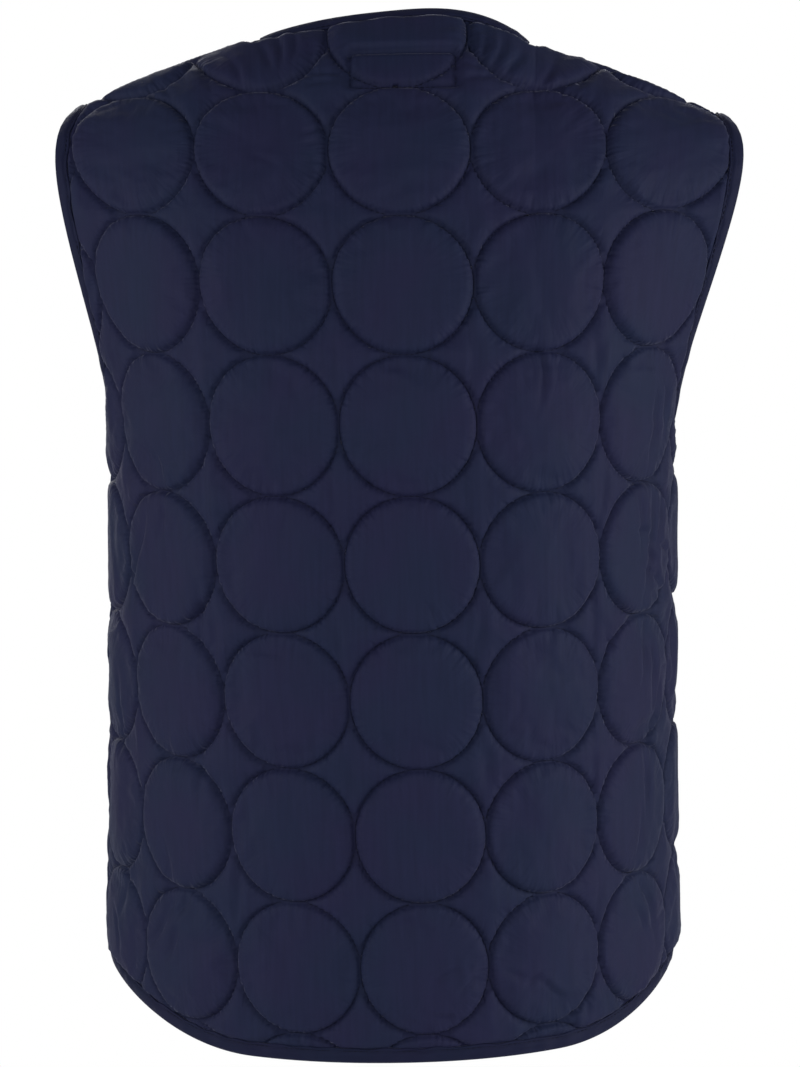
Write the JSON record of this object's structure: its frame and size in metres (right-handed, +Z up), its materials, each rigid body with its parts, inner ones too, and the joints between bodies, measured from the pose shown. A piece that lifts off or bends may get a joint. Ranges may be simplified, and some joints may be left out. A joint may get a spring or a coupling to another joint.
{
  "type": "insulated vest",
  "caption": "Collarless quilted insulated vest in worn form, circle-stitched padding, bound neck, armholes and hem, press-stud front.",
  "frame": {"origin": "midway between the two shoulders that carry the vest, level with the middle of their slopes", "axes": "+Z up along the worn vest, +Y towards its back, +X towards the wearer's left"},
  "size_m": [0.4392, 0.3382, 0.656],
  "materials": {
    "shell": "fine woven nylon with a low soft sheen",
    "binding": "matte woven binding tape",
    "stud": "satin dark enamel"
  },
  "bodies": {
    "root": {"back_panel": "shell", "front_left": "shell", "front_right": "shell", "neck_binding": "binding", "hem_binding_back": "binding", "edge_binding_left": "binding", "edge_binding_right": "binding", "armhole_binding_left": "binding", "armhole_binding_right": "binding", "stud_1": "stud", "stud_2": "stud", "stud_3": "stud", "stud_4": "stud", "stud_5": "stud"}
  },
  "joints": []
}
